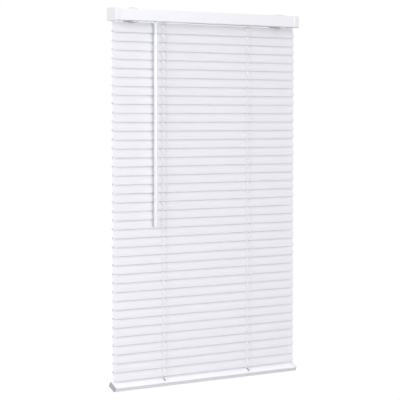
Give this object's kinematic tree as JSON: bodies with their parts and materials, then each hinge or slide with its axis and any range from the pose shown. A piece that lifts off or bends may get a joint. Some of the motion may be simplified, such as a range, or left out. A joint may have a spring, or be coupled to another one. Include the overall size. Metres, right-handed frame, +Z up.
{
  "type": "venetian blind",
  "caption": "Cordless mini venetian blind with crowned slats on string ladders, a box headrail with brackets, a tilt wand and a bottom rail.",
  "frame": {"origin": "centre of the brackets' screw pattern, on the surface that the brackets are screwed up against", "axes": "+X along the width to the right as seen from the room, -Y towards the room, +Z up; slats closed with front edges down"},
  "size_m": [0.584, 0.0413, 0.9155],
  "materials": {
    "slat_vinyl": "satin",
    "headrail_steel": "satin",
    "white_moulding": "satin",
    "bracket_steel": "satin",
    "clear_moulding": "gloss",
    "wand_acrylic": "gloss",
    "inner_moulding": "matte",
    "steel": "drawn",
    "cord": "braided",
    "rail_vinyl": "satin"
  },
  "bodies": {
    "root": {"headrail": "headrail_steel", "headrail_end_caps": "white_moulding", "mounting_brackets": "bracket_steel", "tilter_case": "inner_moulding", "drum_cradles": "inner_moulding", "spring_motor_case": "inner_moulding", "lift_spools": "inner_moulding", "lift_cords": "cord", "ladder_end_strands": "cord"},
    "tilt_rod": {"tilt_rod": "steel", "tilter_gear": "inner_moulding", "ladder_drums": "inner_moulding"},
    "tilter_worm": {"tilter_worm": "steel"},
    "wand_connector": {"wand_connector": "clear_moulding"},
    "wand": {"wand": "wand_acrylic"},
    "bracket_latches": {"bracket_latches": "clear_moulding"},
    "front_ladder": {"front_ladder_cords": "cord"},
    "back_ladder": {"back_ladder_cords": "cord"},
    "bottom_rail": {"bottom_rail": "rail_vinyl", "bottom_rail_end_caps": "white_moulding"},
    "slat_01": {"slat_01": "slat_vinyl"},
    "slat_02": {"slat_02": "slat_vinyl"},
    "slat_03": {"slat_03": "slat_vinyl"},
    "slat_04": {"slat_04": "slat_vinyl"},
    "slat_05": {"slat_05": "slat_vinyl"},
    "slat_06": {"slat_06": "slat_vinyl"},
    "slat_07": {"slat_07": "slat_vinyl"},
    "slat_08": {"slat_08": "slat_vinyl"},
    "slat_09": {"slat_09": "slat_vinyl"},
    "slat_10": {"slat_10": "slat_vinyl"},
    "slat_11": {"slat_11": "slat_vinyl"},
    "slat_12": {"slat_12": "slat_vinyl"},
    "slat_13": {"slat_13": "slat_vinyl"},
    "slat_14": {"slat_14": "slat_vinyl"},
    "slat_15": {"slat_15": "slat_vinyl"},
    "slat_16": {"slat_16": "slat_vinyl"},
    "slat_17": {"slat_17": "slat_vinyl"},
    "slat_18": {"slat_18": "slat_vinyl"},
    "slat_19": {"slat_19": "slat_vinyl"},
    "slat_20": {"slat_20": "slat_vinyl"},
    "slat_21": {"slat_21": "slat_vinyl"},
    "slat_22": {"slat_22": "slat_vinyl"},
    "slat_23": {"slat_23": "slat_vinyl"},
    "slat_24": {"slat_24": "slat_vinyl"},
    "slat_25": {"slat_25": "slat_vinyl"},
    "slat_26": {"slat_26": "slat_vinyl"},
    "slat_27": {"slat_27": "slat_vinyl"},
    "slat_28": {"slat_28": "slat_vinyl"},
    "slat_29": {"slat_29": "slat_vinyl"},
    "slat_30": {"slat_30": "slat_vinyl"},
    "slat_31": {"slat_31": "slat_vinyl"},
    "slat_32": {"slat_32": "slat_vinyl"},
    "slat_33": {"slat_33": "slat_vinyl"},
    "slat_34": {"slat_34": "slat_vinyl"},
    "slat_35": {"slat_35": "slat_vinyl"},
    "slat_36": {"slat_36": "slat_vinyl"},
    "slat_37": {"slat_37": "slat_vinyl"},
    "slat_38": {"slat_38": "slat_vinyl"},
    "slat_39": {"slat_39": "slat_vinyl"},
    "slat_40": {"slat_40": "slat_vinyl"}
  },
  "joints": [
    {"name": "tilt_rod_turn", "type": "hinge", "parent": "root", "child": "tilt_rod", "pos_m": [0, 0, -0.016], "axis": [-1, 0, 0], "range_deg": [0, 148], "deforming": ["ladder_end_strands"]},
    {"name": "worm_spin", "type": "hinge", "parent": "root", "child": "tilter_worm", "pos_m": [-0.172, -0.0178, -0.0365], "axis": [0, 0.342, 0.9397], "range_deg": [0, 1776]},
    {"name": "wand_swing", "type": "hinge", "parent": "root", "child": "wand_connector", "pos_m": [-0.172, -0.0178, -0.0365], "axis": [-1, 0, 0], "range_deg": [0, 45]},
    {"name": "wand_twist", "type": "hinge", "parent": "wand_connector", "child": "wand", "pos_m": [-0.172, -0.0178, -0.0625], "axis": [0, 0, 1], "range_deg": [0, 1776]},
    {"name": "latch_fold", "type": "hinge", "parent": "root", "child": "bracket_latches", "pos_m": [0, -0.013, -0.0325], "axis": [1, 0, 0], "range_deg": [0, 90]},
    {"name": "slat_01_tilt", "type": "hinge", "parent": "root", "child": "slat_01", "pos_m": [0, 0, -0.045], "axis": [-1, 0, 0], "range_deg": [0, 148]},
    {"name": "slat_02_tilt", "type": "hinge", "parent": "root", "child": "slat_02", "pos_m": [0, 0, -0.06637], "axis": [-1, 0, 0], "range_deg": [0, 148]},
    {"name": "slat_03_tilt", "type": "hinge", "parent": "root", "child": "slat_03", "pos_m": [0, 0, -0.08774], "axis": [-1, 0, 0], "range_deg": [0, 148]},
    {"name": "slat_04_tilt", "type": "hinge", "parent": "root", "child": "slat_04", "pos_m": [0, 0, -0.10911], "axis": [-1, 0, 0], "range_deg": [0, 148]},
    {"name": "slat_05_tilt", "type": "hinge", "parent": "root", "child": "slat_05", "pos_m": [0, 0, -0.13048], "axis": [-1, 0, 0], "range_deg": [0, 148]},
    {"name": "slat_06_tilt", "type": "hinge", "parent": "root", "child": "slat_06", "pos_m": [0, 0, -0.15185], "axis": [-1, 0, 0], "range_deg": [0, 148]},
    {"name": "slat_07_tilt", "type": "hinge", "parent": "root", "child": "slat_07", "pos_m": [0, 0, -0.17322], "axis": [-1, 0, 0], "range_deg": [0, 148]},
    {"name": "slat_08_tilt", "type": "hinge", "parent": "root", "child": "slat_08", "pos_m": [0, 0, -0.19459], "axis": [-1, 0, 0], "range_deg": [0, 148]},
    {"name": "slat_09_tilt", "type": "hinge", "parent": "root", "child": "slat_09", "pos_m": [0, 0, -0.21596], "axis": [-1, 0, 0], "range_deg": [0, 148]},
    {"name": "slat_10_tilt", "type": "hinge", "parent": "root", "child": "slat_10", "pos_m": [0, 0, -0.23733], "axis": [-1, 0, 0], "range_deg": [0, 148]},
    {"name": "slat_11_tilt", "type": "hinge", "parent": "root", "child": "slat_11", "pos_m": [0, 0, -0.2587], "axis": [-1, 0, 0], "range_deg": [0, 148]},
    {"name": "slat_12_tilt", "type": "hinge", "parent": "root", "child": "slat_12", "pos_m": [0, 0, -0.28007], "axis": [-1, 0, 0], "range_deg": [0, 148]},
    {"name": "slat_13_tilt", "type": "hinge", "parent": "root", "child": "slat_13", "pos_m": [0, 0, -0.30144], "axis": [-1, 0, 0], "range_deg": [0, 148]},
    {"name": "slat_14_tilt", "type": "hinge", "parent": "root", "child": "slat_14", "pos_m": [0, 0, -0.32281], "axis": [-1, 0, 0], "range_deg": [0, 148]},
    {"name": "slat_15_tilt", "type": "hinge", "parent": "root", "child": "slat_15", "pos_m": [0, 0, -0.34418], "axis": [-1, 0, 0], "range_deg": [0, 148]},
    {"name": "slat_16_tilt", "type": "hinge", "parent": "root", "child": "slat_16", "pos_m": [0, 0, -0.36555], "axis": [-1, 0, 0], "range_deg": [0, 148]},
    {"name": "slat_17_tilt", "type": "hinge", "parent": "root", "child": "slat_17", "pos_m": [0, 0, -0.38692], "axis": [-1, 0, 0], "range_deg": [0, 148]},
    {"name": "slat_18_tilt", "type": "hinge", "parent": "root", "child": "slat_18", "pos_m": [0, 0, -0.40829], "axis": [-1, 0, 0], "range_deg": [0, 148]},
    {"name": "slat_19_tilt", "type": "hinge", "parent": "root", "child": "slat_19", "pos_m": [0, 0, -0.42966], "axis": [-1, 0, 0], "range_deg": [0, 148]},
    {"name": "slat_20_tilt", "type": "hinge", "parent": "root", "child": "slat_20", "pos_m": [0, 0, -0.45103], "axis": [-1, 0, 0], "range_deg": [0, 148]},
    {"name": "slat_21_tilt", "type": "hinge", "parent": "root", "child": "slat_21", "pos_m": [0, 0, -0.4724], "axis": [-1, 0, 0], "range_deg": [0, 148]},
    {"name": "slat_22_tilt", "type": "hinge", "parent": "root", "child": "slat_22", "pos_m": [0, 0, -0.49377], "axis": [-1, 0, 0], "range_deg": [0, 148]},
    {"name": "slat_23_tilt", "type": "hinge", "parent": "root", "child": "slat_23", "pos_m": [0, 0, -0.51514], "axis": [-1, 0, 0], "range_deg": [0, 148]},
    {"name": "slat_24_tilt", "type": "hinge", "parent": "root", "child": "slat_24", "pos_m": [0, 0, -0.53651], "axis": [-1, 0, 0], "range_deg": [0, 148]},
    {"name": "slat_25_tilt", "type": "hinge", "parent": "root", "child": "slat_25", "pos_m": [0, 0, -0.55788], "axis": [-1, 0, 0], "range_deg": [0, 148]},
    {"name": "slat_26_tilt", "type": "hinge", "parent": "root", "child": "slat_26", "pos_m": [0, 0, -0.57925], "axis": [-1, 0, 0], "range_deg": [0, 148]},
    {"name": "slat_27_tilt", "type": "hinge", "parent": "root", "child": "slat_27", "pos_m": [0, 0, -0.60062], "axis": [-1, 0, 0], "range_deg": [0, 148]},
    {"name": "slat_28_tilt", "type": "hinge", "parent": "root", "child": "slat_28", "pos_m": [0, 0, -0.62199], "axis": [-1, 0, 0], "range_deg": [0, 148]},
    {"name": "slat_29_tilt", "type": "hinge", "parent": "root", "child": "slat_29", "pos_m": [0, 0, -0.64336], "axis": [-1, 0, 0], "range_deg": [0, 148]},
    {"name": "slat_30_tilt", "type": "hinge", "parent": "root", "child": "slat_30", "pos_m": [0, 0, -0.66473], "axis": [-1, 0, 0], "range_deg": [0, 148]},
    {"name": "slat_31_tilt", "type": "hinge", "parent": "root", "child": "slat_31", "pos_m": [0, 0, -0.6861], "axis": [-1, 0, 0], "range_deg": [0, 148]},
    {"name": "slat_32_tilt", "type": "hinge", "parent": "root", "child": "slat_32", "pos_m": [0, 0, -0.70747], "axis": [-1, 0, 0], "range_deg": [0, 148]},
    {"name": "slat_33_tilt", "type": "hinge", "parent": "root", "child": "slat_33", "pos_m": [0, 0, -0.72884], "axis": [-1, 0, 0], "range_deg": [0, 148]},
    {"name": "slat_34_tilt", "type": "hinge", "parent": "root", "child": "slat_34", "pos_m": [0, 0, -0.75021], "axis": [-1, 0, 0], "range_deg": [0, 148]},
    {"name": "slat_35_tilt", "type": "hinge", "parent": "root", "child": "slat_35", "pos_m": [0, 0, -0.77158], "axis": [-1, 0, 0], "range_deg": [0, 148]},
    {"name": "slat_36_tilt", "type": "hinge", "parent": "root", "child": "slat_36", "pos_m": [0, 0, -0.79295], "axis": [-1, 0, 0], "range_deg": [0, 148]},
    {"name": "slat_37_tilt", "type": "hinge", "parent": "root", "child": "slat_37", "pos_m": [0, 0, -0.81432], "axis": [-1, 0, 0], "range_deg": [0, 148]},
    {"name": "slat_38_tilt", "type": "hinge", "parent": "root", "child": "slat_38", "pos_m": [0, 0, -0.83569], "axis": [-1, 0, 0], "range_deg": [0, 148]},
    {"name": "slat_39_tilt", "type": "hinge", "parent": "root", "child": "slat_39", "pos_m": [0, 0, -0.85706], "axis": [-1, 0, 0], "range_deg": [0, 148]},
    {"name": "slat_40_tilt", "type": "hinge", "parent": "root", "child": "slat_40", "pos_m": [0, 0, -0.87843], "axis": [-1, 0, 0], "range_deg": [0, 148]},
    {"name": "front_ladder_travel", "type": "hinge", "parent": "slat_01", "child": "front_ladder", "pos_m": [0, -0.00316, -0.06074], "axis": [-1, 0, 0], "range_deg": [-148, 0]},
    {"name": "back_ladder_travel", "type": "hinge", "parent": "slat_01", "child": "back_ladder", "pos_m": [0, 0.00566, -0.02998], "axis": [-1, 0, 0], "range_deg": [-148, 0]},
    {"name": "bottom_rail_tilt", "type": "hinge", "parent": "root", "child": "bottom_rail", "pos_m": [0, 0, -0.9032], "axis": [-1, 0, 0], "range_deg": [0, 64]}
  ],
  "couplings": [
    {"joint": "worm_spin", "follows": "tilt_rod_turn", "ratio": 12},
    {"joint": "wand_twist", "follows": "tilt_rod_turn", "ratio": 12},
    {"joint": "slat_01_tilt", "follows": "tilt_rod_turn", "ratio": 1},
    {"joint": "slat_02_tilt", "follows": "tilt_rod_turn", "ratio": 1},
    {"joint": "slat_03_tilt", "follows": "tilt_rod_turn", "ratio": 1},
    {"joint": "slat_04_tilt", "follows": "tilt_rod_turn", "ratio": 1},
    {"joint": "slat_05_tilt", "follows": "tilt_rod_turn", "ratio": 1},
    {"joint": "slat_06_tilt", "follows": "tilt_rod_turn", "ratio": 1},
    {"joint": "slat_07_tilt", "follows": "tilt_rod_turn", "ratio": 1},
    {"joint": "slat_08_tilt", "follows": "tilt_rod_turn", "ratio": 1},
    {"joint": "slat_09_tilt", "follows": "tilt_rod_turn", "ratio": 1},
    {"joint": "slat_10_tilt", "follows": "tilt_rod_turn", "ratio": 1},
    {"joint": "slat_11_tilt", "follows": "tilt_rod_turn", "ratio": 1},
    {"joint": "slat_12_tilt", "follows": "tilt_rod_turn", "ratio": 1},
    {"joint": "slat_13_tilt", "follows": "tilt_rod_turn", "ratio": 1},
    {"joint": "slat_14_tilt", "follows": "tilt_rod_turn", "ratio": 1},
    {"joint": "slat_15_tilt", "follows": "tilt_rod_turn", "ratio": 1},
    {"joint": "slat_16_tilt", "follows": "tilt_rod_turn", "ratio": 1},
    {"joint": "slat_17_tilt", "follows": "tilt_rod_turn", "ratio": 1},
    {"joint": "slat_18_tilt", "follows": "tilt_rod_turn", "ratio": 1},
    {"joint": "slat_19_tilt", "follows": "tilt_rod_turn", "ratio": 1},
    {"joint": "slat_20_tilt", "follows": "tilt_rod_turn", "ratio": 1},
    {"joint": "slat_21_tilt", "follows": "tilt_rod_turn", "ratio": 1},
    {"joint": "slat_22_tilt", "follows": "tilt_rod_turn", "ratio": 1},
    {"joint": "slat_23_tilt", "follows": "tilt_rod_turn", "ratio": 1},
    {"joint": "slat_24_tilt", "follows": "tilt_rod_turn", "ratio": 1},
    {"joint": "slat_25_tilt", "follows": "tilt_rod_turn", "ratio": 1},
    {"joint": "slat_26_tilt", "follows": "tilt_rod_turn", "ratio": 1},
    {"joint": "slat_27_tilt", "follows": "tilt_rod_turn", "ratio": 1},
    {"joint": "slat_28_tilt", "follows": "tilt_rod_turn", "ratio": 1},
    {"joint": "slat_29_tilt", "follows": "tilt_rod_turn", "ratio": 1},
    {"joint": "slat_30_tilt", "follows": "tilt_rod_turn", "ratio": 1},
    {"joint": "slat_31_tilt", "follows": "tilt_rod_turn", "ratio": 1},
    {"joint": "slat_32_tilt", "follows": "tilt_rod_turn", "ratio": 1},
    {"joint": "slat_33_tilt", "follows": "tilt_rod_turn", "ratio": 1},
    {"joint": "slat_34_tilt", "follows": "tilt_rod_turn", "ratio": 1},
    {"joint": "slat_35_tilt", "follows": "tilt_rod_turn", "ratio": 1},
    {"joint": "slat_36_tilt", "follows": "tilt_rod_turn", "ratio": 1},
    {"joint": "slat_37_tilt", "follows": "tilt_rod_turn", "ratio": 1},
    {"joint": "slat_38_tilt", "follows": "tilt_rod_turn", "ratio": 1},
    {"joint": "slat_39_tilt", "follows": "tilt_rod_turn", "ratio": 1},
    {"joint": "slat_40_tilt", "follows": "tilt_rod_turn", "ratio": 1},
    {"joint": "front_ladder_travel", "follows": "tilt_rod_turn", "ratio": -1},
    {"joint": "back_ladder_travel", "follows": "tilt_rod_turn", "ratio": -1},
    {"joint": "bottom_rail_tilt", "follows": "tilt_rod_turn", "ratio": 0.43243}
  ]
}
